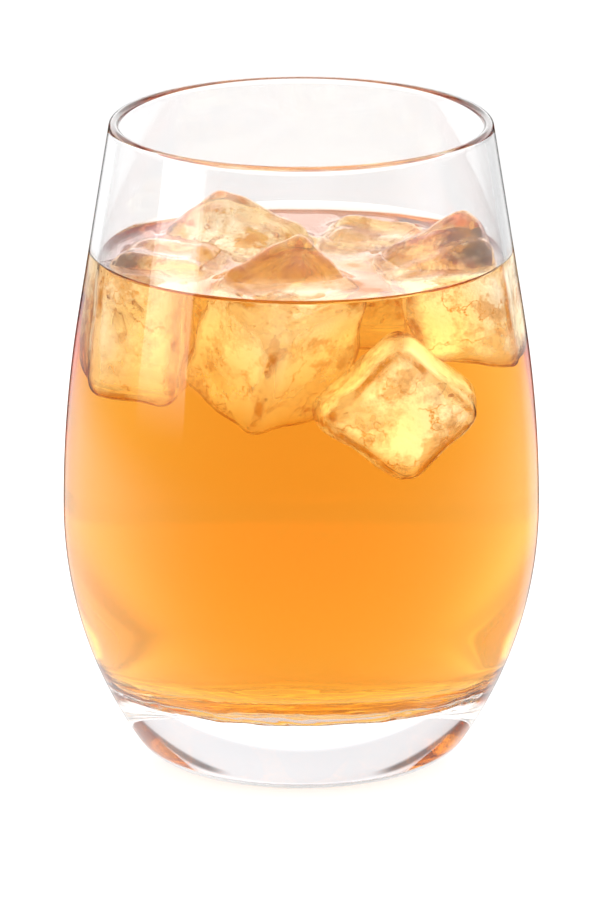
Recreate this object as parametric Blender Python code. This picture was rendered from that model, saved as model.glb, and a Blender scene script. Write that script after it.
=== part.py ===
# A stemless glass of iced tea: the glass, the tea inside it and the ice cubes that stand out of the tea.
# Metres, +Z up. The origin is the middle of the foot, on the surface that the glass stands on.
# The front, as the drink is usually looked at, is towards -Y.

import math

import bmesh
import bpy
import numpy as np

MM = 0.001
GAP = 0.3 * MM                # clearance between pieces that would touch
TURN_STEPS = 60               # sides of everything that is round
POLE_MERGE = 0.01 * MM        # points of a turned piece that meet on its axis become one

# How finely the half sections are drawn
TAPER_SHARES = (1.0, 0.66, 0.33)      # points along the straight taper, as shares of its height from the top
SHOULDER_STEPS = 4
BOWL_STEPS = 6
CORNER_STEPS = 5
LIP_STEPS = 6
PUNT_STEPS = 4

# Outside of the glass: an arc below the widest place, a flatter arc above it, then a straight taper
GLASS_HEIGHT = 121.0 * MM
WIDEST_RADIUS = 44.0 * MM
WIDEST_HEIGHT = 48.3 * MM
LOWER_ARC = 77.6 * MM         # radius of the bulging lower part
UPPER_ARC = 229.0 * MM        # radius of the part that draws in above the widest place
TAPER = math.radians(9.06)    # lean of the straight part under the rim
FOOT_CORNER = 10.9 * MM       # rounding between the side and the foot
PUNT_RADIUS = 17.0 * MM       # shallow hollow under the foot
PUNT_DEPTH = 1.2 * MM

# Inside of the glass
WALL = 1.9 * MM
LIP_RADIUS = WALL / 2         # the rim is melted to a full round
FLOOR_HEIGHT = 16.0 * MM      # thick clear base
FLOOR_CORNER = 10.0 * MM
INNER_LOWER_ARC = 70.0 * MM   # tighter than outside, so the wall thickens towards the base

# Tea
TEA_LEVEL = 95.4 * MM
MENISCUS_RISE = 1.3 * MM      # the tea climbs the glass by this much
MENISCUS_REACH = 0.8 * MM     # and has lost two thirds of it this far from the wall
MENISCUS_POINTS = (4.0 * MM, 2.0 * MM, 1.0 * MM, 0.4 * MM)      # distances from the wall

# Ice cubes, a little melted: rounded edges, corners pulled out of square and faintly wavy faces
ICE_ROUNDING = 3.6 * MM
ICE_CUTS = 5                  # cuts along each edge of the starting cube
CORNER_PULL = 0.9 * MM
WAVE_HEIGHT = 0.20 * MM
WAVE_LENGTH = 11.0 * MM
WAVE_SHIFT = 9.0              # spreads the waves of one cube, and of the next, over different places
SIGNS = np.array([(x, y, z) for x in (-1, 1) for y in (-1, 1) for z in (-1, 1)])  # the corners of a cube

# Each cube: centre and size in mm, then its lean, roll and spin in degrees, and the seed of its own shape.
# It is spun about its own upright axis first, then leaned towards the front, then rolled to the right.
ICE_CUBES = {
    "ice_back_left": {
        "centre": (-12.0, 15.6, 89.6), "size": (18.5, 24.0, 20.5), "tilt": (22, -2, 48),
        "wedge": 0.0, "seed": 11,
    },
    "ice_front": {
        "centre": (-3.8, -14.2, 84.2), "size": (21.0, 20.5, 28.0), "tilt": (27, 9, 43),
        "wedge": 0.0, "seed": 12,
    },
    "ice_right": {
        "centre": (24.9, -3.8, 88.4), "size": (21.0, 17.5, 22.5), "tilt": (9, -6, 12),
        "wedge": 0.3, "seed": 13,
    },
    "ice_left": {
        "centre": (-25.4, -3.4, 84.3), "size": (17.5, 19.5, 27.5), "tilt": (2, 2, -14),
        "wedge": 0.0, "seed": 14,
    },
    "ice_back": {
        "centre": (12.4, 14.2, 86.9), "size": (17.0, 19.0, 19.0), "tilt": (4, 3, -8),
        "wedge": 0.0, "seed": 15,
    },
}

# Colour, then roughness
CLEAR_GLASS = (0.92, 0.94, 0.96), 0.03
AMBER_TEA = (0.93, 0.30, 0.03), 0.05
PALE_ICE = (0.97, 0.93, 0.82), 0.12


def arc(centre, radius, start, end, steps):
    # Points on a round stretch from one angle to the other, both ends included
    angles = np.linspace(start, end, steps + 1)
    return [(centre[0] + radius * math.cos(a), centre[1] + radius * math.sin(a)) for a in angles]


def tangent_corner(bowl_centre, bowl_radius, corner_radius, floor):
    # Centre of the round that joins a bowl arc to a level floor, and the angle where the two arcs meet
    height = floor + corner_radius
    reach = math.sqrt((bowl_radius - corner_radius) ** 2 - (bowl_centre[1] - height) ** 2)
    centre = (bowl_centre[0] + reach, height)
    angle = math.atan2(centre[1] - bowl_centre[1], centre[0] - bowl_centre[0])
    return centre, angle


def side_line(inset, lower_arc, corner, floor, top):
    # One side of the glass from the height top down to the floor, set in from the outside by inset.
    # lower_arc and corner are the radii at this depth of the wall.
    shoulder_centre = (WIDEST_RADIUS - UPPER_ARC, WIDEST_HEIGHT)
    shoulder = UPPER_ARC - inset
    start = (shoulder_centre[0] + shoulder * math.cos(TAPER), shoulder_centre[1] + shoulder * math.sin(TAPER))
    rise = top - start[1]
    line = [(start[0] - rise * share * math.tan(TAPER), start[1] + rise * share) for share in TAPER_SHARES]
    line += arc(shoulder_centre, shoulder, TAPER, 0, SHOULDER_STEPS)
    bowl_centre = (WIDEST_RADIUS - inset - lower_arc, WIDEST_HEIGHT)
    corner_centre, meet = tangent_corner(bowl_centre, lower_arc, corner, floor)
    line += arc(bowl_centre, lower_arc, 0, meet, BOWL_STEPS)[1:]
    line += arc(corner_centre, corner, meet, -math.pi / 2, CORNER_STEPS)[1:]
    return line


def glass_line():
    # Half section of the glass: up the inside from the middle of its floor, over the lip and down the outside
    lip_height = GLASS_HEIGHT - LIP_RADIUS
    inner_top = lip_height - LIP_RADIUS * math.sin(TAPER)
    outer_top = lip_height + LIP_RADIUS * math.sin(TAPER)
    inside = side_line(WALL, INNER_LOWER_ARC, FLOOR_CORNER, FLOOR_HEIGHT, inner_top)
    outside = side_line(0, LOWER_ARC, FOOT_CORNER, 0, outer_top)
    lip_centre = (outside[0][0] - LIP_RADIUS * math.cos(TAPER), lip_height)
    lip = arc(lip_centre, LIP_RADIUS, math.pi + TAPER, TAPER, LIP_STEPS)
    punt_arc = (PUNT_RADIUS ** 2 + PUNT_DEPTH ** 2) / (2 * PUNT_DEPTH)
    edge = math.asin(PUNT_RADIUS / punt_arc)
    punt = arc((0, PUNT_DEPTH - punt_arc), punt_arc, math.pi / 2 - edge, math.pi / 2, PUNT_STEPS)
    return [(0, FLOOR_HEIGHT)] + inside[::-1] + lip[1:-1] + outside + punt


def tea_line():
    # Half section of the tea: out along its surface, up the meniscus, down the side and back along the floor
    contact = TEA_LEVEL + MENISCUS_RISE
    side = side_line(WALL + GAP, INNER_LOWER_ARC - GAP, FLOOR_CORNER - GAP, FLOOR_HEIGHT + GAP, contact)
    edge = side[0][0]
    surface = [(0, TEA_LEVEL), (edge / 2, TEA_LEVEL)]
    for distance in MENISCUS_POINTS:
        rise = MENISCUS_RISE * math.exp(-distance / MENISCUS_REACH)
        surface.append((edge - distance, TEA_LEVEL + rise))
    return surface + side + [(0, FLOOR_HEIGHT + GAP)]


def material(name, colour, roughness):
    made = bpy.data.materials.new(name)
    made.use_nodes = True
    shader = made.node_tree.nodes["Principled BSDF"]
    shader.inputs["Base Color"].default_value = (*colour, 1)
    shader.inputs["Roughness"].default_value = roughness
    shader.inputs["Metallic"].default_value = 0
    made.diffuse_color = (*colour, 1)
    return made


def add_object(name, mesh, finish):
    made = bpy.data.objects.new(name, mesh)
    bpy.context.scene.collection.objects.link(made)
    if finish is not None:
        mesh.materials.append(finish)
    return made


def turned(name, line, finish):
    # A half section turned round the upright axis with a Screw modifier
    mesh = bpy.data.meshes.new(name)
    points = [(x, 0, z) for x, z in line]
    mesh.from_pydata(points, [(i, i + 1) for i in range(len(points) - 1)], [])
    made = add_object(name, mesh, finish)
    screw = made.modifiers.new("Turn", "SCREW")
    screw.axis = "Z"
    screw.angle = 2 * math.pi
    screw.steps = TURN_STEPS
    screw.render_steps = TURN_STEPS
    screw.use_merge_vertices = True
    screw.merge_threshold = POLE_MERGE
    screw.use_smooth_shade = True
    return made


def ice_point(corner, cube, pulls, grow):
    # Place of a point of the starting cube, which runs from -1 to 1, on the finished ice.
    # The cube is rounded, its faces get shallow waves and its eight corners are pulled out of square.
    # A wedge makes its right side taller than its left.
    half = np.array(cube["size"]) * MM / 2
    flat = corner * half
    core = np.clip(flat, ICE_ROUNDING - half, half - ICE_ROUNDING)
    outward = flat - core
    outward /= np.linalg.norm(outward)
    wave = np.sin(2 * math.pi * core[[1, 2, 0]] / WAVE_LENGTH + pulls[0] * WAVE_SHIFT).sum()
    weights = np.prod(1 + SIGNS * corner, axis=1) / 8
    point = core + outward * (ICE_ROUNDING + grow + WAVE_HEIGHT * wave) + weights @ pulls * CORNER_PULL
    point[2] *= 1 + cube["wedge"] * point[0] / half[0]
    return point


def ice_mesh(name, cube, grow):
    pulls = np.random.default_rng(cube["seed"]).uniform(-1, 1, (8, 3))
    shape = bmesh.new()
    bmesh.ops.create_cube(shape, size=2)
    bmesh.ops.subdivide_edges(shape, edges=shape.edges, cuts=ICE_CUTS, use_grid_fill=True)
    for vert in shape.verts:
        vert.co = ice_point(np.array(vert.co), cube, pulls, grow)
    mesh = bpy.data.meshes.new(name)
    shape.to_mesh(mesh)
    shape.free()
    mesh.shade_smooth()
    return mesh


def place(piece, cube):
    piece.location = [value * MM for value in cube["centre"]]
    piece.rotation_mode = "ZXY"
    piece.rotation_euler = [math.radians(value) for value in cube["tilt"]]


def add_ice(tea, name, cube, finish):
    # The cube itself, and the pocket that it leaves in the tea
    piece = add_object(name, ice_mesh(name, cube, 0), finish)
    place(piece, cube)
    pocket = add_object("pocket_" + name, ice_mesh("pocket_" + name, cube, GAP), None)
    place(pocket, cube)
    pocket.hide_render = True
    pocket.display_type = "WIRE"
    cut = tea.modifiers.new("Room for " + name, "BOOLEAN")
    cut.operation = "DIFFERENCE"
    cut.solver = "EXACT"
    cut.object = pocket


def main():
    for old in list(bpy.data.objects):
        bpy.data.objects.remove(old, do_unlink=True)
    turned("glass", glass_line(), material("Clear glass", *CLEAR_GLASS))
    tea = turned("tea", tea_line(), material("Amber tea", *AMBER_TEA))
    ice = material("Pale ice", *PALE_ICE)
    for name, cube in ICE_CUBES.items():
        add_ice(tea, name, cube, ice)


main()
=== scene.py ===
import math

import bpy
import numpy as np
from mathutils import Euler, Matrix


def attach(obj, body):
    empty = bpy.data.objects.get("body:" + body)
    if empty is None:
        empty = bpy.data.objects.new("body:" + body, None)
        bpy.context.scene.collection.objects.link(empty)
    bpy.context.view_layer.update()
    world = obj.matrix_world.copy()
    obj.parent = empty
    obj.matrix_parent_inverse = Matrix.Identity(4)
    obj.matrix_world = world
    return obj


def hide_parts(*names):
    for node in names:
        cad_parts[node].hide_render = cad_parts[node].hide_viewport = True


# A stemless glass of iced tea on a light table in a pale room.
# Settings are in millimetres and degrees, meshes in metres. +Z is up and the camera looks along +Y.

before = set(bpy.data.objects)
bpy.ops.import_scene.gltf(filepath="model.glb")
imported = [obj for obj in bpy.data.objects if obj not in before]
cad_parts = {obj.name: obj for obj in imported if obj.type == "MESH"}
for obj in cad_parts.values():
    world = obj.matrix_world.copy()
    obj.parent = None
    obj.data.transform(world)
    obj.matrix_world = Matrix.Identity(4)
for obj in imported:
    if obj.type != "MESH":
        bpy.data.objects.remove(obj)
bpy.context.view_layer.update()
mm = 0.001


def linearColour(code):
    # An sRGB hex code such as "#ffcc88" as linear red, green, blue and alpha
    parts = [int(code[i:i + 2], 16) / 255 for i in (1, 3, 5)]
    linear = [part / 12.92 if part <= 0.04045 else ((part + 0.055) / 1.055) ** 2.4 for part in parts]
    return (*linear, 1)


def addNode(tree, kind, settings=None, links=None):
    # A node with its values set, by socket name or number or else by attribute, and its inputs linked.
    # A link comes from a socket, or from the first output of a node.
    node = tree.nodes.new(kind)
    for name, value in (settings or {}).items():
        if isinstance(name, int) or name in node.inputs:
            node.inputs[name].default_value = value
        else:
            setattr(node, name, value)
    for name, source in (links or {}).items():
        socket = source.outputs[0] if isinstance(source, bpy.types.Node) else source
        tree.links.new(socket, node.inputs[name])
    return node


def newMaterial(name):
    made = bpy.data.materials.new(name)
    made.use_nodes = True
    made.node_tree.nodes.clear()
    return made, made.node_tree


def addMesh(name, points, triangles, finish=None):
    # A smooth mesh object from an array of points and an array of triangles
    mesh = bpy.data.meshes.new(name)
    mesh.vertices.add(len(points))
    mesh.vertices.foreach_set("co", np.asarray(points, np.float32).ravel())
    mesh.loops.add(triangles.size)
    mesh.loops.foreach_set("vertex_index", np.asarray(triangles, np.int32).ravel())
    mesh.polygons.add(len(triangles))
    mesh.polygons.foreach_set("loop_start", np.arange(0, triangles.size, 3, dtype=np.int32))
    mesh.update(calc_edges=True)
    mesh.validate()
    mesh.shade_smooth()
    made = bpy.data.objects.new(name, mesh)
    bpy.context.scene.collection.objects.link(made)
    if finish is not None:
        mesh.materials.append(finish)
    return made


def arcPoints(centre, radius, start, end, spacing):
    # Points on a round stretch between two angles, about spacing apart, both ends included
    count = max(3, math.ceil(abs(end - start) * radius / spacing))
    angles = np.linspace(start, end, count + 1)
    return np.column_stack([centre[0] + radius * np.cos(angles), centre[1] + radius * np.sin(angles)])


def linePoints(start, end, spacing):
    # Points on a straight stretch, about spacing apart, both ends included
    count = max(1, math.ceil(math.dist(start, end) / spacing))
    steps = np.linspace(0, 1, count + 1)[:, None]
    return (1 - steps) * np.array(start) + steps * np.array(end)


def ringTriangles(rows, turns):
    # Triangles between rings of points that lie one after the other, closed at both ends. The two points
    # that follow the last ring close the first ring and the last one.
    here = np.arange(turns)
    after = (here + 1) % turns
    row = np.arange(rows - 1)[:, None] * turns
    a, b, c, d = row + here, row + after, row + turns + after, row + turns + here
    last = (rows - 1) * turns
    return np.concatenate([
        np.stack([a, b, c], axis=-1).reshape(-1, 3),
        np.stack([a, c, d], axis=-1).reshape(-1, 3),
        np.column_stack([np.full(turns, rows * turns), after, here]),
        np.column_stack([np.full(turns, rows * turns + 1), last + here, last + after]),
    ])


def turnedSurface(section, turns):
    # Point i of the section at turn j stands at (r cos a, r sin a, z), with a = 2 pi j / turns.
    # The section starts and ends on the axis, where each end closes to a single pole, and it runs up the
    # outer side, so that faces point outwards.
    ring = section[1:-1]
    angles = np.arange(turns) * 2 * math.pi / turns
    points = np.stack([
        ring[:, 0, None] * np.cos(angles),
        ring[:, 0, None] * np.sin(angles),
        np.repeat(ring[:, 1, None], turns, axis=1),
    ], axis=-1).reshape(-1, 3)
    points = np.vstack([points, [0, 0, section[0, 1]], [0, 0, section[-1, 1]]])
    return points, ringTriangles(len(ring), turns)


def latticeNoise(points, size, seed):
    # Smooth noise from -1 to 1: random values on a cubic lattice of the given size, blended between
    # the eight corners round each point with an ease-in, ease-out weight
    side = 32
    values = np.random.default_rng(seed).uniform(-1, 1, (side, side, side))
    place = points / size + side / 2
    cell = np.floor(place).astype(int)
    part = place - cell
    ease = part * part * (3 - 2 * part)
    total = np.zeros(len(points))
    for corner in np.ndindex(2, 2, 2):
        weight = np.prod(np.where(np.array(corner) == 1, ease, 1 - ease), axis=1)
        index = (cell + corner) % side
        total += weight * values[index[:, 0], index[:, 1], index[:, 2]]
    return total


# Glass

glassSettings = {
    "height": 121.0,
    "widestRadius": 44.0,
    "widestHeight": 48.3,
    "lowerArc": 77.6,         # radius of the bulging lower part
    "upperArc": 229.0,        # radius of the part that draws in above the widest place
    "taper": 9.06,            # lean of the straight part under the rim, degrees
    "footCorner": 10.9,       # rounding between the side and the foot
    "puntRadius": 17.0,       # shallow hollow under the foot
    "puntDepth": 1.2,
    "wall": 1.9,
    "floorHeight": 16.0,      # thick clear base
    "floorCorner": 10.0,
    "innerLowerArc": 70.0,    # tighter than outside, so the wall thickens towards the base
    "floorBump": 0.22,        # the floor is a little uneven, which shows as streaks under the tea
    "floorBumpSize": 4.5,
    "floorSeeds": (21, 22),
    "pointSpacing": 0.85,     # distance between points along the section
    "turns": 240,             # points round the glass
    "tint": "#e6e6e7",
    "greyness": 44.0,         # how fast the glass swallows light, per metre
}


def sidePoints(inset, lowerArc, corner, floor, top, spacing):
    # One side of the glass from the height top down to the floor: a straight taper, a flat arc,
    # a tighter arc from the widest place, and the round that runs into the level floor.
    # All are set in from the outside by inset.
    g = glassSettings
    taper = math.radians(g["taper"])
    widest = g["widestHeight"]
    shoulder = g["upperArc"] - inset
    middle = g["widestRadius"] - g["upperArc"]
    start = (middle + shoulder * math.cos(taper), widest + shoulder * math.sin(taper))
    rise = top - start[1]
    bowlCentre = (g["widestRadius"] - inset - lowerArc, widest)
    cornerHeight = floor + corner
    reach = math.sqrt((lowerArc - corner) ** 2 - (widest - cornerHeight) ** 2)
    cornerCentre = (bowlCentre[0] + reach, cornerHeight)
    meet = math.atan2(cornerHeight - widest, reach)
    return np.vstack([
        linePoints((start[0] - rise * math.tan(taper), top), start, spacing)[:-1],
        arcPoints((middle, widest), shoulder, taper, 0, spacing)[:-1],
        arcPoints(bowlCentre, lowerArc, 0, meet, spacing)[:-1],
        arcPoints(cornerCentre, corner, meet, -math.pi / 2, spacing),
    ])


def floorRelief(points):
    # The unevenness of the glass floor: smooth bumps, and smaller ones of half their height and size, full
    # on the floor and gone above its rounded corner. It lifts glass and tea alike, in metres.
    g = glassSettings
    size = g["floorBumpSize"]
    flat = np.column_stack([points[:, :2] / mm, np.zeros(len(points))])
    above = np.clip((points[:, 2] / mm - g["floorHeight"]) / g["floorCorner"], 0, 1)
    large, small = g["floorSeeds"]
    bumps = latticeNoise(flat, size, large) + latticeNoise(flat, size / 2, small) / 2
    return g["floorBump"] * bumps * (1 - above) ** 2 * mm


def insideWall(points, outside):
    # Whether points, in metres, lie nearer the axis than the middle of the wall.
    # outside is the outer line, in mm.
    radius = np.linalg.norm(points[:, :2], axis=1) / mm
    outerRadius = np.interp(points[:, 2] / mm, outside[::-1, 1], outside[::-1, 0])
    return radius < outerRadius - glassSettings["wall"] / 2


def markWetted(made, faces):
    # Notes on each face whether tea and glass meet there
    made.data.attributes.new("wetted", "FLOAT", "FACE").data.foreach_set("value", faces.astype(np.float32))


def sheenWhereDry(tree):
    # Tea takes the mirror shine off the glass that it wets, because the two bend light almost alike
    wetted = addNode(tree, "ShaderNodeAttribute", {"attribute_name": "wetted"})
    sheen = addNode(tree, "ShaderNodeMix", {
        "data_type": "RGBA", 6: linearColour("#ffffff"), 7: linearColour("#000000"),
    }, {"Factor": wetted.outputs["Fac"]})
    return sheen.outputs[2]


def makeClearGlass():
    # Soda-lime glass, blown and fire-polished: clear and glossy, with a faint grey in its thick parts
    made, tree = newMaterial("soda-lime glass, fire-polished")
    shader = addNode(tree, "ShaderNodeBsdfPrincipled", {
        "Base Color": linearColour("#ffffff"),
        "Roughness": 0.0,
        "IOR": 1.5,
        "Transmission Weight": 1.0,
    }, {"Specular Tint": sheenWhereDry(tree)})
    absorption = addNode(tree, "ShaderNodeVolumeAbsorption", {
        "Color": linearColour(glassSettings["tint"]), "Density": glassSettings["greyness"],
    })
    addNode(tree, "ShaderNodeOutputMaterial", {}, {"Surface": shader, "Volume": absorption})
    return made


def makeGlass():
    g = glassSettings
    lip = g["wall"] / 2               # the rim is melted to a full round
    taper = math.radians(g["taper"])
    lipHeight = g["height"] - lip
    lean = lip * math.sin(taper)
    floorHeight = g["floorHeight"]
    spacing = g["pointSpacing"]
    innerTop = lipHeight - lean
    inside = sidePoints(g["wall"], g["innerLowerArc"], g["floorCorner"], floorHeight, innerTop, spacing)
    outside = sidePoints(0, g["lowerArc"], g["footCorner"], 0, lipHeight + lean, spacing)
    lipCentre = (outside[0, 0] - lip * math.cos(taper), lipHeight)
    lipArc = arcPoints(lipCentre, lip, math.pi + taper, taper, spacing / 3)
    puntArc = (g["puntRadius"] ** 2 + g["puntDepth"] ** 2) / (2 * g["puntDepth"])
    edge = math.asin(g["puntRadius"] / puntArc)
    punt = arcPoints((0, g["puntDepth"] - puntArc), puntArc, math.pi / 2 - edge, math.pi / 2, spacing)
    floor = linePoints((0, floorHeight), inside[-1], spacing)
    foot = linePoints(outside[-1], punt[0], spacing)
    section = np.vstack([floor[:-1], inside[::-1], lipArc[1:-1], outside, foot[1:], punt[1:]])[::-1]
    points, triangles = turnedSurface(section * mm, g["turns"])
    justUnderFloor = (floorHeight - lip) * mm
    inner = (points[:, 2] > justUnderFloor) & insideWall(points, outside)
    points[inner, 2] += floorRelief(points[inner])
    made = addMesh("tumbler", points, triangles, makeClearGlass())
    middle = points[triangles].mean(axis=1)
    contact = (teaSettings["level"] + teaSettings["wallRise"]) * mm
    wetted = (middle[:, 2] > justUnderFloor) & (middle[:, 2] < contact) & insideWall(middle, outside)
    markWetted(made, wetted)
    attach(made, "root")
    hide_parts("glass")
    print("glass:", len(triangles), "triangles")


# Ice

iceSettings = {
    "rounding": 3.6,          # radius of the melted edges
    "cornerPull": 0.9,        # how far a corner is pulled out of square, at most
    "waveHeight": 0.20,
    "waveLength": 11.0,
    "waveShift": 9.0,         # spreads the waves of one cube, and of the next, over different places
    "hollowDepth": 0.35,      # melted hollows
    "hollowSize": 6.0,
    "hollowSeed": 100,        # this seed and the next two are added to a cube's own
    "rippleDepth": 0.09,      # small uneven melting
    "rippleSize": 2.2,
    "rippleSeed": 200,
    "cells": 52,              # along each edge of a cube
    "pocketInset": 0.30,      # the tea stops this far inside the ice, so that no air gap shows
    "pocketCells": 34,
    "faceEdge": 0.92,         # share of the way from the middle of a face where its edge starts
    "faceFade": 0.42,         # and over how much of that way the middle gives way to it
    "cavitySeed": 300,
    "cracks": 2,              # thin gaps of air inside each cube
    "crackSize": (2.0, 5.0),  # half their length
    "crackShape": 0.4,        # width as a share of length
    "crackOutline": {2: 0.25, 3: 0.15, 7: 0.08},    # waves round it, and their height as a share
    "crackGap": 0.12,
    "crackBend": 0.7,
    "crackBendSize": (2.6, 2.1),
    "crackSpread": 0.35,      # how far out cracks lie, as a share of half the cube
    "crackDepth": 1.6,        # at the least, under the faces
    "crackRings": 9,
    "crackTurns": 32,
    "bubbles": 46,
    "bubbleSize": (0.10, 0.42),
    "bubbleStretch": 2.4,     # they grow long towards the middle of the cube
    "bubbleDepth": 2.2,
    "bubbleRings": 6,
    "bubbleTurns": 10,

    # Finish. Pattern sizes are in mm. A pair after a pattern is where in its noise, which runs from 0 to 1,
    # it starts and where it is full.
    "colour": "#fbf9ef",              # under the tea
    "soakAndEdgeShadeColour": "#c8902f",        # where tea has soaked in, and painted shade along the edges under the tea
    "airColour": "#f6f4ee",           # above the tea, where a cube is clear
    "amberColour": "#ffe082",         # and where it is amber: painted amber that stands in for the tea seen through the ice
    "airSoakedColour": "#cc8f2a",
    "wetTo": 94.0,                    # height up to which the ice is under the tea
    "dryFrom": 97.0,
    "patchSize": 13.333,              # patches of frost
    "patchAt": (0.42, 0.55),
    "patchFrost": (0.10, 1.2),        # between the patches and in them
    "edgeFrost": 0.3,                 # less along the edges of a cube, and in full from
    "edgeFrostTo": 0.6,               # this share of the way to the middle of a face
    "bottomFrost": 0.15,              # and at its bottom
    "soakSize": 8.333,                # streaks where tea has soaked in
    "streakAt": (0.54, 0.60),
    "streakShare": 0.60,
    "airStreakAt": (0.60, 0.66),
    "amberStreaks": 0.2,              # how much earlier they start in amber ice
    "veinSize": 11.765,
    "veinWidth": 0.012,
    "veinAt": (0.42, 0.54),
    "edgeShadeWidth": 0.12,                # painted shade along the edges, as a share of the way to the middle of a face
    "edgeShadeAt": (0.44, 0.54),
    "edgeShadeShare": (0.10, 1.0),
    "grainSize": 0.833,               # frost crystals, drawn coarser than real ones so that they show
    "grainHeight": 0.2,
    "roughness": (0.02, 0.22),        # where clear and where frosted
    "hazeSize": 5.882,
    "hazeAt": (0.42, 0.62),
    "hazeStretch": 0.45,              # its streaks stand upright
    "hazeThin": 3.0,                  # per metre, between the streaks
    "hazeThick": 1.7,                 # in them, times a cube's cloud
    "hazeFade": 6.0,                  # it fades out over this much under cloudTop
    "hazeAbove": 0.02,
}

# seed sets the uneven form of a cube. cloudTop is the height up to which it is cloudy inside, and cloud how
# strongly. frost is the share of its surface under the tea that is white, in full from frostFrom above its
# bottom, and frostInAir is that share above the tea. amberInAir is how much painted amber the cube has above
# the tea, standing in for the tea seen through it, from clear at 0 to 1. node is the solid that it replaces,
# which the sunk cube doesn't have.
iceCubes = {
    "cube_back_left": {
        "centre": (-12.0, 15.6, 89.6), "size": (18.5, 24.0, 20.5), "tilt": (22, -2, 48), "wedge": 0.0,
        "seed": 11, "cloudTop": 98.0, "cloud": 5.0, "node": "ice_back_left",
        "frost": 0.45, "frostFrom": 6.0, "frostInAir": 0.10, "amberInAir": 0.30,
    },
    "cube_front": {
        "centre": (-3.8, -14.2, 84.2), "size": (21.0, 20.5, 28.0), "tilt": (27, 9, 43), "wedge": 0.0,
        "seed": 12, "cloudTop": 93.0, "cloud": 30.0, "node": "ice_front",
        "frost": 0.62, "frostFrom": 14.0, "frostInAir": 0.03, "amberInAir": 1.0,
    },
    "cube_right": {
        "centre": (24.9, -3.8, 88.4), "size": (21.0, 17.5, 22.5), "tilt": (9, -6, 12), "wedge": 0.3,
        "seed": 13, "cloudTop": 95.0, "cloud": 35.0, "node": "ice_right",
        "frost": 1.0, "frostFrom": 4.0, "frostInAir": 0.15, "amberInAir": 0.8,
    },
    "cube_left": {
        "centre": (-25.4, -3.4, 84.3), "size": (17.5, 19.5, 27.5), "tilt": (2, 2, -14), "wedge": 0.0,
        "seed": 14, "cloudTop": 92.0, "cloud": 25.0, "node": "ice_left",
        "frost": 0.52, "frostFrom": 8.0, "frostInAir": 0.05, "amberInAir": 0.8,
    },
    "cube_back": {
        "centre": (12.4, 14.2, 86.9), "size": (17.0, 19.0, 19.0), "tilt": (4, 3, -8), "wedge": 0.0,
        "seed": 15, "cloudTop": 88.0, "cloud": 15.0, "node": "ice_back",
        "frost": 0.50, "frostFrom": 6.0, "frostInAir": 0.06, "amberInAir": 0.75,
    },
    "cube_sunk": {
        "centre": (15.8, -18.5, 72.2), "size": (21.0, 14.0, 20.5), "tilt": (-7, 44, 11.5), "wedge": 0.0,
        "seed": 16, "cloudTop": 95.0, "cloud": 45.0, "node": None,
        "frost": 0.76, "frostFrom": 2.0, "frostInAir": 0.90, "amberInAir": 0.5,
    },
}


def cubeGrid(cells):
    # The surface of a cube from -1 to 1 as a square grid on each of its six sides, with shared edges merged
    steps = np.linspace(-1, 1, cells + 1)
    u, v = np.meshgrid(steps, steps, indexing="ij")
    row, column = np.meshgrid(np.arange(cells), np.arange(cells), indexing="ij")
    a = (row * (cells + 1) + column).ravel()
    b = a + cells + 1
    quads = np.concatenate([np.column_stack([a, b, b + 1]), np.column_stack([a, b + 1, a + 1])])
    points, triangles = [], []
    for axis in range(3):
        for side in (-1, 1):
            flat = np.empty((u.size, 3))
            flat[:, axis] = side
            flat[:, (axis + 1) % 3] = u.ravel()
            flat[:, (axis + 2) % 3] = v.ravel()
            triangles.append((quads if side == 1 else quads[:, ::-1]) + len(points) * u.size)
            points.append(flat)
    keys, index = np.unique(np.round(np.vstack(points), 6), axis=0, return_inverse=True)
    return keys, index.ravel()[np.vstack(triangles)]


def inPlace(cube, points):
    # From a cube's own axes, in mm, to its place in the glass, in metres.
    # A wedge makes its right side taller.
    points = points.copy()
    points[:, 2] *= 1 + cube["wedge"] * points[:, 0] / (cube["size"][0] / 2)
    turn = np.array(Euler([math.radians(value) for value in cube["tilt"]], "ZXY").to_matrix())
    return (points @ turn.T + np.array(cube["centre"])) * mm


def iceSurface(cube, cells, inset):
    # A cube whose edges are rounded to a radius: each point of the cube is pulled in to the core box that
    # is smaller by the radius, then pushed out by the radius along the way it came. Shallow waves, melted
    # hollows and small ripples are added to that push, and the eight corners are pulled out of square.
    s = iceSettings
    grid, triangles = cubeGrid(cells)
    pulls = np.random.default_rng(cube["seed"]).uniform(-1, 1, (8, 3))
    half = np.array(cube["size"]) / 2
    flat = grid * half
    core = np.clip(flat, s["rounding"] - half, half - s["rounding"])
    outward = flat - core
    outward /= np.linalg.norm(outward, axis=1, keepdims=True)
    waves = np.sin(2 * math.pi * core[:, [1, 2, 0]] / s["waveLength"] + pulls[0] * s["waveShift"])
    relief = s["waveHeight"] * waves.sum(axis=1)
    relief += s["hollowDepth"] * latticeNoise(flat, s["hollowSize"], cube["seed"] + s["hollowSeed"])
    relief += s["rippleDepth"] * latticeNoise(flat, s["rippleSize"], cube["seed"] + s["rippleSeed"])
    signs = np.array([(x, y, z) for x in (-1, 1) for y in (-1, 1) for z in (-1, 1)])
    weights = np.prod(1 + signs[None] * grid[:, None], axis=2) / 8
    push = s["rounding"] - inset + relief
    points = core + outward * push[:, None] + weights @ pulls * s["cornerPull"]
    return inPlace(cube, points), triangles


def faceMiddles(cells):
    # For each point of the cube grid, 1 in the middle of a face and 0 along the edges of the cube
    second = np.sort(np.abs(cubeGrid(cells)[0]), axis=1)[:, 1]
    share = np.clip((iceSettings["faceEdge"] - second) / iceSettings["faceFade"], 0, 1)
    return share * share * (3 - 2 * share)


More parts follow.
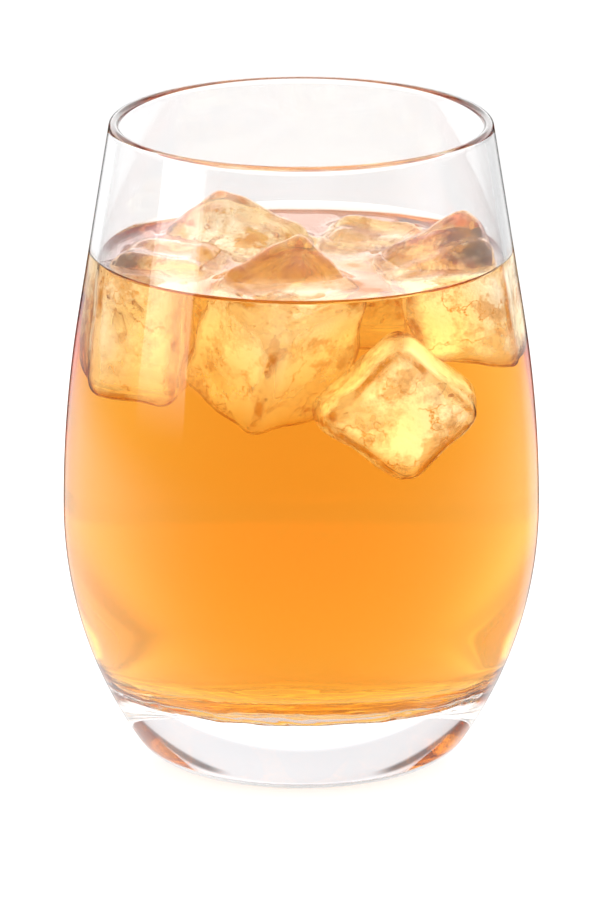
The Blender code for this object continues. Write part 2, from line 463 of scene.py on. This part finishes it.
def crackSurface(radius, seed):
    # A thin gap: a disc with an uneven outline, bent by two long waves. Its two faces stand apart by the
    # gap times the square root of one minus the square of the way out, and meet along the outline.
    s = iceSettings
    *shifts, bendAlong, bendAcross = np.random.default_rng(seed).uniform(0, 2 * math.pi, 5)
    way = np.linspace(0, 1, s["crackRings"] + 1)[1:]
    angles = np.arange(s["crackTurns"]) * 2 * math.pi / s["crackTurns"]
    waves = zip(s["crackOutline"].items(), shifts)
    uneven = sum(height * np.sin(count * angles + shift) for (count, height), shift in waves)
    outline = radius * (1 + uneven)
    x = way[:, None] * outline * np.cos(angles)
    y = way[:, None] * outline * np.sin(angles) * s["crackShape"]
    along, across = s["crackBendSize"]

    def bend(x, y):
        return s["crackBend"] * (np.sin(x / along + bendAlong) + np.sin(y / across + bendAcross))

    half = s["crackGap"] / 2 * np.sqrt(1 - way ** 2)[:, None]
    middle = bend(x, y)
    upper = np.stack([x, y, middle + half], axis=-1)
    lower = np.stack([x, y, middle - half], axis=-1)[-2::-1]
    start = bend(0, 0)
    rings = np.concatenate([upper, lower]).reshape(-1, 3)
    points = np.vstack([rings, [0, 0, start + s["crackGap"] / 2], [0, 0, start - s["crackGap"] / 2]])
    return points, ringTriangles(len(upper) + len(lower), s["crackTurns"])[:, ::-1]


def bubbleSurface(radius, along, stretch):
    # A ball of rings from pole to pole, drawn out along one direction
    s = iceSettings
    polar = np.linspace(0, math.pi, s["bubbleRings"] + 1)[1:-1, None]
    angles = np.arange(s["bubbleTurns"]) * 2 * math.pi / s["bubbleTurns"]
    rings = np.stack([
        np.sin(polar) * np.cos(angles),
        np.sin(polar) * np.sin(angles),
        np.repeat(np.cos(polar), len(angles), axis=1),
    ], axis=-1).reshape(-1, 3)
    points = radius * np.vstack([rings, [0, 0, 1], [0, 0, -1]])
    points += np.outer(points @ along, along) * (stretch - 1)
    return points, ringTriangles(len(polar), s["bubbleTurns"])[:, ::-1]


def iceCavities(cube):
    # Cracks and bubbles of one cube. Their faces point into the air that they hold, away from the ice.
    s = iceSettings
    draw = np.random.default_rng(cube["seed"] + s["cavitySeed"])
    half = np.array(cube["size"]) / 2
    pieces = []
    for number in range(s["cracks"]):
        radius = draw.uniform(*s["crackSize"])
        flat, triangles = crackSurface(radius, cube["seed"] * 10 + number)
        turn = np.array(Euler(draw.uniform(-math.pi, math.pi, 3)).to_matrix())
        points = flat @ turn.T + draw.uniform(-s["crackSpread"], s["crackSpread"], 3) * half
        inside = np.abs(points / (half - s["crackDepth"])).max()
        pieces.append((points / max(inside, 1), triangles))
    smallest, largest = s["bubbleSize"]
    for _ in range(s["bubbles"]):
        place = draw.uniform(-1, 1, 3) * (half - s["bubbleDepth"])
        along = place / np.linalg.norm(place)
        size = smallest + (largest - smallest) * draw.uniform() ** 2
        flat, triangles = bubbleSurface(size, along, draw.uniform(1, s["bubbleStretch"]))
        pieces.append((flat + place, triangles))
    starts = np.cumsum([0] + [len(points) for points, _ in pieces])
    points = np.vstack([points for points, _ in pieces])
    return inPlace(cube, points), np.vstack([t + start for (_, t), start in zip(pieces, starts)])


def makeIceWater(name, cube):
    # Frozen tap water from a tray, wet and half melted: clear and glossy outside, frosted white in patches
    # where it lies in the tea, brown where tea has soaked in, with painted shade in that brown along its
    # edges under the tea and painted amber above the tea that stands in for the tea seen through it, and
    # with a cloudy heart
    f = iceSettings
    made, tree = newMaterial("freezer ice, wet and melting, " + name)
    place = addNode(tree, "ShaderNodeTexCoord").outputs["Object"]
    height = addNode(tree, "ShaderNodeSeparateXYZ", {}, {"Vector": place}).outputs["Z"]
    middle = addNode(tree, "ShaderNodeAttribute", {"attribute_name": "faceMiddle"}).outputs["Fac"]
    inAir = addNode(tree, "ShaderNodeMapRange", {
        "From Min": f["wetTo"] * mm, "From Max": f["dryFrom"] * mm,
    }, {"Value": height})

    # Under the tea the ice melts unevenly and is frosted. In the air it is washed smoother, and clear.
    bottom = (cube["centre"][2] - cube["size"][2] / 2) * mm
    frostUnder = addNode(tree, "ShaderNodeMapRange", {
        "From Min": bottom, "From Max": bottom + cube["frostFrom"] * mm,
        "To Min": f["bottomFrost"] * cube["frost"], "To Max": cube["frost"],
    }, {"Value": height})
    strength = addNode(tree, "ShaderNodeMix", {"data_type": "FLOAT", "B": cube["frostInAir"]}, {
        "Factor": inAir, "A": frostUnder,
    })
    patchNoise = addNode(tree, "ShaderNodeTexNoise", {
        "Scale": 1 / (f["patchSize"] * mm), "Detail": 9.0, "Roughness": 0.66,
    }, {"Vector": place})
    patches = addNode(tree, "ShaderNodeMapRange", {
        "From Min": f["patchAt"][0], "From Max": f["patchAt"][1],
        "To Min": f["patchFrost"][0], "To Max": f["patchFrost"][1],
    }, {"Value": patchNoise})
    onFaces = addNode(tree, "ShaderNodeMapRange", {
        "From Max": f["edgeFrostTo"], "To Min": f["edgeFrost"],
    }, {"Value": middle})
    spread = addNode(tree, "ShaderNodeMath", {"operation": "MULTIPLY"}, {0: patches, 1: onFaces})
    frost = addNode(tree, "ShaderNodeMath", {"operation": "MULTIPLY"}, {0: spread, 1: strength})
    clearness = addNode(tree, "ShaderNodeMath", {"operation": "SUBTRACT", 0: 1.0}, {1: frost})

    # Tea soaked into the pitted surface, in streaks and in thin veins, and painted shade in the same brown
    # along the edges of the cube
    soak = addNode(tree, "ShaderNodeTexNoise", {
        "Scale": 1 / (f["soakSize"] * mm), "Detail": 8.0, "Roughness": 0.68,
    }, {"Vector": place})
    streaks = addNode(tree, "ShaderNodeMapRange", {
        "From Min": f["streakAt"][0], "From Max": f["streakAt"][1], "To Max": f["streakShare"],
    }, {"Value": soak})
    veinNoise = addNode(tree, "ShaderNodeTexNoise", {
        "Scale": 1 / (f["veinSize"] * mm), "Detail": 5.0, "Roughness": 0.55,
    }, {"Vector": place})
    veinPlace = addNode(tree, "ShaderNodeMath", {"operation": "SUBTRACT", 1: 0.5}, {0: veinNoise})
    veinNear = addNode(tree, "ShaderNodeMath", {"operation": "ABSOLUTE"}, {0: veinPlace})
    veinLine = addNode(tree, "ShaderNodeMapRange", {
        "From Max": f["veinWidth"], "To Min": 1.0, "To Max": 0.0,
    }, {"Value": veinNear})
    veinParts = addNode(tree, "ShaderNodeMapRange", {
        "From Min": f["veinAt"][0], "From Max": f["veinAt"][1],
    }, {"Value": soak})
    veins = addNode(tree, "ShaderNodeMath", {"operation": "MULTIPLY"}, {0: veinLine, 1: veinParts})
    # Painted shade: a dark line of the soaked brown along the edges of the cube, in parts
    edgeShadeLine = addNode(tree, "ShaderNodeMapRange", {
        "From Max": f["edgeShadeWidth"], "To Min": 1.0, "To Max": 0.0,
    }, {"Value": middle})
    edgeShadeParts = addNode(tree, "ShaderNodeMapRange", {
        "From Min": f["edgeShadeAt"][0], "From Max": f["edgeShadeAt"][1],
        "To Min": f["edgeShadeShare"][0], "To Max": f["edgeShadeShare"][1],
    }, {"Value": soak})
    edges = addNode(tree, "ShaderNodeMath", {"operation": "MULTIPLY"}, {0: edgeShadeLine, 1: edgeShadeParts})
    marks = addNode(tree, "ShaderNodeMath", {"operation": "MAXIMUM"}, {0: streaks, 1: veins})
    marks = addNode(tree, "ShaderNodeMath", {"operation": "MAXIMUM"}, {0: marks, 1: edges})
    under = addNode(tree, "ShaderNodeMix", {
        "data_type": "RGBA", 6: linearColour(f["colour"]), 7: linearColour(f["soakAndEdgeShadeColour"]),
    }, {"Factor": marks})

    # Above the tea there is less of it, and amber cubes get painted amber all through, which stands in for
    # the tea seen through the ice
    amount = cube["amberInAir"]
    airStreaks = addNode(tree, "ShaderNodeMapRange", {
        "From Min": f["airStreakAt"][0] - f["amberStreaks"] * amount,
        "From Max": f["airStreakAt"][1] - f["amberStreaks"] * amount,
    }, {"Value": soak})
    airMarks = addNode(tree, "ShaderNodeMath", {"operation": "MAXIMUM"}, {0: airStreaks, 1: veins})
    clearColour = np.array(linearColour(f["airColour"]))
    amberColour = np.array(linearColour(f["amberColour"]))
    tint = (1 - amount) * clearColour + amount * amberColour
    above = addNode(tree, "ShaderNodeMix", {
        "data_type": "RGBA", 6: tint, 7: linearColour(f["airSoakedColour"]),
    }, {"Factor": airMarks})
    colour = addNode(tree, "ShaderNodeMix", {"data_type": "RGBA"}, {
        "Factor": inAir, 6: under.outputs[2], 7: above.outputs[2],
    })

    grain = addNode(tree, "ShaderNodeTexNoise", {
        "Scale": 1 / (f["grainSize"] * mm), "Detail": 2.0, "Roughness": 0.5,
    }, {"Vector": place})
    bump = addNode(tree, "ShaderNodeBump", {"Distance": f["grainHeight"] * mm}, {
        "Strength": frost, "Height": grain,
    })
    roughness = addNode(tree, "ShaderNodeMapRange", {
        "To Min": f["roughness"][0], "To Max": f["roughness"][1],
    }, {"Value": frost})
    shader = addNode(tree, "ShaderNodeBsdfPrincipled", {"IOR": 1.31}, {
        "Base Color": colour.outputs[2],
        "Transmission Weight": clearness,
        "Roughness": roughness,
        "Normal": bump,
    })

    # Cloudy heart: air frozen in as a haze, in upright streaks
    stretch = (1.0, 1.0, f["hazeStretch"])
    upright = addNode(tree, "ShaderNodeMapping", {"Scale": stretch}, {"Vector": place})
    hazeNoise = addNode(tree, "ShaderNodeTexNoise", {
        "Scale": 1 / (f["hazeSize"] * mm), "Detail": 3.0, "Roughness": 0.6,
    }, {"Vector": upright})
    heart = addNode(tree, "ShaderNodeMapRange", {
        "From Min": f["hazeAt"][0], "From Max": f["hazeAt"][1],
        "To Min": f["hazeThin"], "To Max": f["hazeThick"] * cube["cloud"],
    }, {"Value": hazeNoise})
    belowTop = addNode(tree, "ShaderNodeMapRange", {
        "From Min": (cube["cloudTop"] - f["hazeFade"]) * mm, "From Max": cube["cloudTop"] * mm,
        "To Min": 1.0, "To Max": f["hazeAbove"],
    }, {"Value": height})
    density = addNode(tree, "ShaderNodeMath", {"operation": "MULTIPLY"}, {0: heart, 1: belowTop})
    white = linearColour("#ffffff")
    haze = addNode(tree, "ShaderNodeVolumeScatter", {"Color": white}, {"Density": density})
    addNode(tree, "ShaderNodeOutputMaterial", {}, {"Surface": shader, "Volume": haze})
    return made


def makeIce():
    # The cubes, and for each of them the pocket that it needs in the tea
    pockets = []
    for name, cube in iceCubes.items():
        points, triangles = iceSurface(cube, iceSettings["cells"], 0)
        gaps, gapTriangles = iceCavities(cube)
        triangles = np.vstack([triangles, gapTriangles + len(points)])
        made = addMesh(name, np.vstack([points, gaps]), triangles, makeIceWater(name, cube))
        middles = np.concatenate([faceMiddles(iceSettings["cells"]), np.zeros(len(gaps))])
        middles = middles.astype(np.float32)
        made.data.attributes.new("faceMiddle", "FLOAT", "POINT").data.foreach_set("value", middles)
        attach(made, "root")
        if cube["node"] is not None:
            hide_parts(cube["node"])
        pockets.append(iceSurface(cube, iceSettings["pocketCells"], iceSettings["pocketInset"]))
        print("ice:", name, len(triangles), "triangles")
    return pockets


# Tea

teaSettings = {
    "level": 95.4,
    "wallReach": 0.15,        # how far the tea reaches into the glass wall, so that no air gap shows
    "wallRise": 1.3,          # the tea climbs the glass by this much
    "wallFade": 0.8,          # and has lost two thirds of it this far from the wall
    "iceRise": 1.0,           # it climbs the ice a little less
    "iceFade": 1.5,
    "rippleHeight": 0.06,
    "rippleSize": 4.5,
    "rippleSeed": 5,
    "rings": 80,              # of points over its surface
    "edgeBand": 3.0,          # beside the wall, where the rings stand closer together
    "edgeRings": 20,
    "turns": 280,
    "pointSpacing": 1.0,
    "floorSpacing": 0.65,
    "sharpFrom": 32.0,        # degrees between faces from which an edge is sharp
    "colour": "#f8d800",
    "strength": 52.0,         # how fast the tea swallows light, per metre
}


def waterline(points, triangles, level):
    # Where the edges of a mesh cross a level: a cloud of points along its outline at that height
    edges = triangles[:, [0, 1, 1, 2, 2, 0]].reshape(-1, 2)
    low, high = points[edges[:, 0]], points[edges[:, 1]]
    crossing = (low[:, 2] < level) & (high[:, 2] >= level)
    low, high = low[crossing], high[crossing]
    share = ((level - low[:, 2]) / (high[:, 2] - low[:, 2]))[:, None]
    return (low + share * (high - low))[:, :2]


def nearestDistance(places, outline):
    # Distance from each place to the nearest point of an outline, in blocks to save memory
    blockLength = 4096
    nearest = np.empty(len(places))
    for start in range(0, len(places), blockLength):
        block = places[start:start + blockLength]
        gaps = np.linalg.norm(block[:, None] - outline[None], axis=2)
        nearest[start:start + blockLength] = gaps.min(axis=1)
    return nearest


def surfaceLift(places, edge, pockets):
    # How far the tea's surface stands above its level, in mm: at the wall and round each cube it climbs and
    # falls off with e to the minus distance, and faint ripples lie between
    t = teaSettings
    lines = [waterline(*pocket, t["level"] * mm) for pocket in pockets]
    outline = np.vstack([line for line in lines if len(line)])
    radius = np.linalg.norm(places, axis=1) / mm
    atWall = np.exp(-np.maximum(edge - t["wallReach"] - radius, 0) / t["wallFade"])
    atIce = np.exp(-nearestDistance(places, outline) / mm / t["iceFade"])
    flat = np.column_stack([places / mm, np.zeros(len(places))])
    ripples = t["rippleHeight"] * latticeNoise(flat, t["rippleSize"], t["rippleSeed"])
    return t["wallRise"] * atWall + (t["iceRise"] * atIce + ripples) * (1 - atWall)


def makeTeaLiquid():
    # Black tea, brewed and chilled: clear amber. It swallows blue over a few millimetres and green over a
    # few centimetres, so it is yellow where it is thin and orange where it is deep.
    made, tree = newMaterial("black tea, brewed and chilled")
    shader = addNode(tree, "ShaderNodeBsdfPrincipled", {
        "Base Color": linearColour("#ffffff"),
        "Roughness": 0.0,
        "IOR": 1.33,
        "Transmission Weight": 1.0,
    }, {"Specular Tint": sheenWhereDry(tree)})
    absorption = addNode(tree, "ShaderNodeVolumeAbsorption", {
        "Color": linearColour(teaSettings["colour"]), "Density": teaSettings["strength"],
    })
    addNode(tree, "ShaderNodeOutputMaterial", {}, {"Surface": shader, "Volume": absorption})
    return made


def cutPockets(made, pockets):
    # Takes the pockets out of the tea, and leaves the result as its plain mesh
    cutters = []
    for points, triangles in pockets:
        cutter = addMesh("pocket", points, triangles)
        cut = made.modifiers.new("Pocket", "BOOLEAN")
        cut.operation = "DIFFERENCE"
        cut.solver = "MANIFOLD"
        cut.object = cutter
        cutters.append(cutter)
    cutMesh = bpy.data.meshes.new_from_object(made.evaluated_get(bpy.context.evaluated_depsgraph_get()))
    made.modifiers.clear()
    made.data = cutMesh
    for cutter in cutters:
        bpy.data.objects.remove(cutter, do_unlink=True)


def makeTea(pockets):
    g, t = glassSettings, teaSettings
    reach = t["wallReach"]
    floorHeight = g["floorHeight"] - reach
    side = sidePoints(g["wall"] - reach, g["innerLowerArc"] + reach, g["floorCorner"] + reach,
                      floorHeight, t["level"] + t["wallRise"], t["pointSpacing"])
    edge = side[0, 0]
    radii = np.concatenate([
        np.linspace(0, edge - t["edgeBand"], t["rings"] + 1)[:-1],
        np.linspace(edge - t["edgeBand"], edge, t["edgeRings"] + 1)[:-1],
    ])
    surface = np.column_stack([radii, np.full(len(radii), t["level"])])
    bottom = linePoints(side[-1], (0, floorHeight), t["floorSpacing"])
    section = np.vstack([surface, side, bottom[1:]])[::-1]
    points, triangles = turnedSurface(section * mm, t["turns"])
    top = np.isclose(points[:, 2], t["level"] * mm, atol=1e-7)
    points[~top, 2] += floorRelief(points[~top])
    points[top, 2] += surfaceLift(points[top][:, :2], edge, pockets) * mm
    made = addMesh("brew", points, triangles, makeTeaLiquid())
    middle = points[triangles].mean(axis=1) / mm
    sideRadius = np.interp(middle[:, 2], side[::-1, 1], side[::-1, 0])
    againstSide = np.linalg.norm(middle[:, :2], axis=1) > sideRadius - reach
    markWetted(made, againstSide | (middle[:, 2] < g["floorHeight"]))
    cutPockets(made, pockets)
    made.data.set_sharp_from_angle(angle=math.radians(t["sharpFrom"]))
    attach(made, "root")
    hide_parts("tea")
    made.data.calc_loop_triangles()
    print("tea:", len(made.data.loop_triangles), "triangles")


# Table

# In metres. A pair of glowAway is a distance from the glass and the radiance there, and one of glowAcross
# is a distance to the right of the glass and a share of that radiance.
tableSettings = {
    "size": 16.0,
    "drop": 0.00005,                  # under the foot, so that the two don't share a plane
    "glowAway": [(0.20, 0.82), (0.44, 0.50), (0.53, 0.50), (0.80, 0.80)],
    "glowAcross": [
        (-0.60, 0.6), (-0.15, 1.6), (-0.03, 1.0), (0.03, 1.0), (0.08, 1.1), (0.20, 0.7), (0.50, 0.6),
    ],
    "colour": "#666666",
}


def makeOpalSheet():
    # Opal acrylic, cast and lit from below: pale, with a soft sheen, and it shines up through the tea.
    # Its glow changes with the distance from the glass and from left to right.
    t = tableSettings
    made, tree = newMaterial("opal acrylic sheet, cast, lit from below")
    place = addNode(tree, "ShaderNodeTexCoord").outputs["Object"]
    away = addNode(tree, "ShaderNodeVectorMath", {"operation": "LENGTH"}, {"Vector": place})
    across = addNode(tree, "ShaderNodeSeparateXYZ", {}, {"Vector": place})
    strengths = []
    for distance, stops in ((away.outputs["Value"], t["glowAway"]), (across.outputs["X"], t["glowAcross"])):
        # From 0 to 1 as the distance goes from -1 m to 1 m
        share = addNode(tree, "ShaderNodeMapRange", {"From Min": -1.0}, {"Value": distance})
        ramp = addNode(tree, "ShaderNodeValToRGB", {}, {"Fac": share})
        steps = ramp.color_ramp
        steps.interpolation = "EASE"
        steps.elements.remove(steps.elements[1])
        for at, strength in stops:
            steps.elements.new((1 + at) / 2).color = (strength, strength, strength, 1)
        steps.elements.remove(steps.elements[0])
        strengths.append(ramp)
    glow = addNode(tree, "ShaderNodeMath", {"operation": "MULTIPLY"}, dict(enumerate(strengths)))
    shader = addNode(tree, "ShaderNodeBsdfPrincipled", {
        "Base Color": linearColour(t["colour"]),
        "Roughness": 0.6,
        "Emission Color": linearColour("#ffffff"),
    }, {"Emission Strength": glow})
    addNode(tree, "ShaderNodeOutputMaterial", {}, {"Surface": shader})
    return made


def makeTable():
    half = tableSettings["size"] / 2
    z = -tableSettings["drop"]
    corners = np.array([(-half, -half, z), (half, -half, z), (half, half, z), (-half, half, z)])
    table = addMesh("table", corners, np.array([(0, 1, 2), (0, 2, 3)]), makeOpalSheet())
    table.visible_glossy = False      # mirror reflections see the darker room instead
    print("table:", tableSettings["size"], "m wide")


# Room

# Front is behind the camera, back is the backdrop. Below the horizon only mirror-like reflections see the
# room, because the table hides it from everything else. Each fade is the name of its result, what it runs
# along, where it starts and ends, and the brightness before and after it. It runs along the X, Y or Z of a
# direction of length 1, so that Z is the sine of its height, or along X to both sides. Fades are worked out
# in this order, and one can start from what an earlier one made.
roomSettings = {
    "brightness": {
        "lowFront": 0.25,
        "lowLeft": 1.2,
        "lowRight": 0.5,
        "lowEdge": 1.0,               # towards both edges of the backdrop, mirrored at the glass's sides
        "lowUpper": 0.15,             # just below the horizon
        "straightBack": 0.0,          # a black card behind the glass gives it its thin dark outline
        "levelFront": 0.3,            # at the horizon
        "levelBack": 1.10,            # about as bright as the table, so that no horizon shows in the tea
        "glowFrontRight": 4.8,        # from 7 degrees up
        "glowFrontLeft": 3.9,
        "glowBack": 2.8,              # lower half of the backdrop, which the surface of the tea mirrors
        "backdropTop": 1.75,
        "gap": 0.40,                  # between the backdrop and the ceiling at both sides
        "ceiling": 2.3,
    },
    "fades": [
        ("lowSide", "X", -0.3, 0.3, "lowLeft", "lowRight"),
        ("low", "Y", -0.85, 0.35, "lowFront", "lowSide"),
        ("low", "Y", 0.72, 0.86, "low", "lowEdge"),
        ("low", "Z", -0.22, -0.12, "low", "lowUpper"),
        ("low", "Y", 0.92, 0.96, "low", "straightBack"),
        ("level", "Y", -0.75, -0.2, "levelFront", "levelBack"),
        ("front", "X", -0.6, 0.6, "glowFrontLeft", "glowFrontRight"),
        ("glow", "Y", -0.6, 0.5, "front", "glowBack"),
        ("raised", "Z", 0.06, 0.12, "level", "glow"),
        ("whole", "Z", -0.03, -0.012, "low", "raised"),
        ("backdrop", "Y", -0.1, 0.3, "front", "backdropTop"),
        ("whole", "Z", 0.28, 0.33, "whole", "backdrop"),
        ("gapSides", "aside", 0.28, 0.42, "backdropTop", "gap"),
        ("gapLevel", "Y", -0.1, 0.3, "front", "gapSides"),
        ("whole", "Z", 0.50, 0.54, "whole", "gapLevel"),
        ("whole", "Z", 0.58, 0.66, "whole", "ceiling"),
    ],
}


def makeRoom():
    # A pale room: dark below the horizon, brightest at its open front, and even at the backdrop and ceiling
    world = bpy.data.worlds.new("studio")
    bpy.context.scene.world = world
    world.use_nodes = True
    tree = world.node_tree
    tree.nodes.clear()
    place = addNode(tree, "ShaderNodeTexCoord").outputs["Generated"]
    axes = addNode(tree, "ShaderNodeSeparateXYZ", {}, {"Vector": place}).outputs
    aside = addNode(tree, "ShaderNodeMath", {"operation": "ABSOLUTE"}, {0: axes["X"]})
    shares = {"X": axes["X"], "Y": axes["Y"], "Z": axes["Z"], "aside": aside}
    results = dict(roomSettings["brightness"])
    for name, axis, start, end, before, after in roomSettings["fades"]:
        share = addNode(tree, "ShaderNodeMapRange", {
            "interpolation_type": "SMOOTHSTEP", "From Min": start, "From Max": end,
        }, {"Value": shares[axis]})
        settings = {"data_type": "FLOAT"}
        links = {"Factor": share}
        for socket, value in (("A", results[before]), ("B", results[after])):
            if isinstance(value, float):
                settings[socket] = value
            else:
                links[socket] = value
        results[name] = addNode(tree, "ShaderNodeMix", settings, links)
    light = addNode(tree, "ShaderNodeBackground", {"Color": linearColour("#ffffff")}, {
        "Strength": results["whole"],
    })
    addNode(tree, "ShaderNodeOutputWorld", {}, {"Surface": light})
    print("room:", len(roomSettings["fades"]), "fades of brightness")


# Strip softbox, in metres from the glass

stripSettings = {
    "left": 0.5,
    "nearEdge": -0.315,               # towards the camera
    "farEdge": -0.038,
    "bottom": 0.005,
    "fullHeight": 0.10,               # it is at full strength from here up
    "top": 0.5,
    "radiance": 3.7,
}


def makeSoftboxCloth():
    # Woven diffuser cloth, lit from behind: even white, and clear at its foot, where the light fades out
    b = stripSettings
    made, tree = newMaterial("softbox cloth, woven, lit from behind")
    place = addNode(tree, "ShaderNodeTexCoord").outputs["Object"]
    axes = addNode(tree, "ShaderNodeSeparateXYZ", {}, {"Vector": place})
    strength = addNode(tree, "ShaderNodeMapRange", {
        "interpolation_type": "SMOOTHSTEP", "From Min": b["bottom"], "From Max": b["fullHeight"],
    }, {"Value": axes.outputs["Z"]})
    clear = addNode(tree, "ShaderNodeBsdfTransparent")
    glow = addNode(tree, "ShaderNodeEmission", {"Strength": b["radiance"]})
    shader = addNode(tree, "ShaderNodeMixShader", {}, {"Fac": strength, 1: clear, 2: glow})
    addNode(tree, "ShaderNodeOutputMaterial", {}, {"Surface": shader})
    return made


def makeStrip():
    # A tall strip softbox, which gives the long reflection on the left of the glass
    b = stripSettings
    corners = np.array([
        (-b["left"], b["nearEdge"], b["bottom"]), (-b["left"], b["farEdge"], b["bottom"]),
        (-b["left"], b["farEdge"], b["top"]), (-b["left"], b["nearEdge"], b["top"]),
    ])
    strip = addMesh("strip_softbox", corners, np.array([(0, 1, 2), (0, 2, 3)]), makeSoftboxCloth())
    strip.visible_camera = False
    print("strip softbox:", b["left"], "m to the left")


# Camera and view

cameraSettings = {
    "place": (0.0, -2.4126, 0.7152),  # metres
    "pitch": -15.229,                 # degrees
    "lens": 540.8,
    "sensor": 36.0,
    "shift": -0.00144,
}

# Light is caught in the tea, the ice and the rim for many turns before it finds its way out
viewSettings = {
    "max_bounces": 64,
    "transmission_bounces": 64,
    "glossy_bounces": 64,
    "diffuse_bounces": 12,
    "volume_bounces": 8,
    "transparent_max_bounces": 16,
    "blur_glossy": 0.0,               # no light in the tea is blurred away
}


def makeCamera():
    c = cameraSettings
    camera = bpy.data.cameras.new("camera")
    camera.lens = c["lens"]
    camera.sensor_width = c["sensor"]
    camera.shift_x = c["shift"]
    made = bpy.data.objects.new("camera", camera)
    bpy.context.scene.collection.objects.link(made)
    made.location = c["place"]
    made.rotation_euler = (math.radians(90 + c["pitch"]), 0, 0)
    bpy.context.scene.camera = made
    print("camera:", c["lens"], "mm lens")


def setUpView():
    scene = bpy.context.scene
    scene.view_settings.view_transform = "Standard"
    for name, value in viewSettings.items():
        setattr(scene.cycles, name, value)
    print("view:", viewSettings["max_bounces"], "bounces")


makeGlass()
makeTea(makeIce())
makeTable()
makeRoom()
makeStrip()
makeCamera()
setUpView()
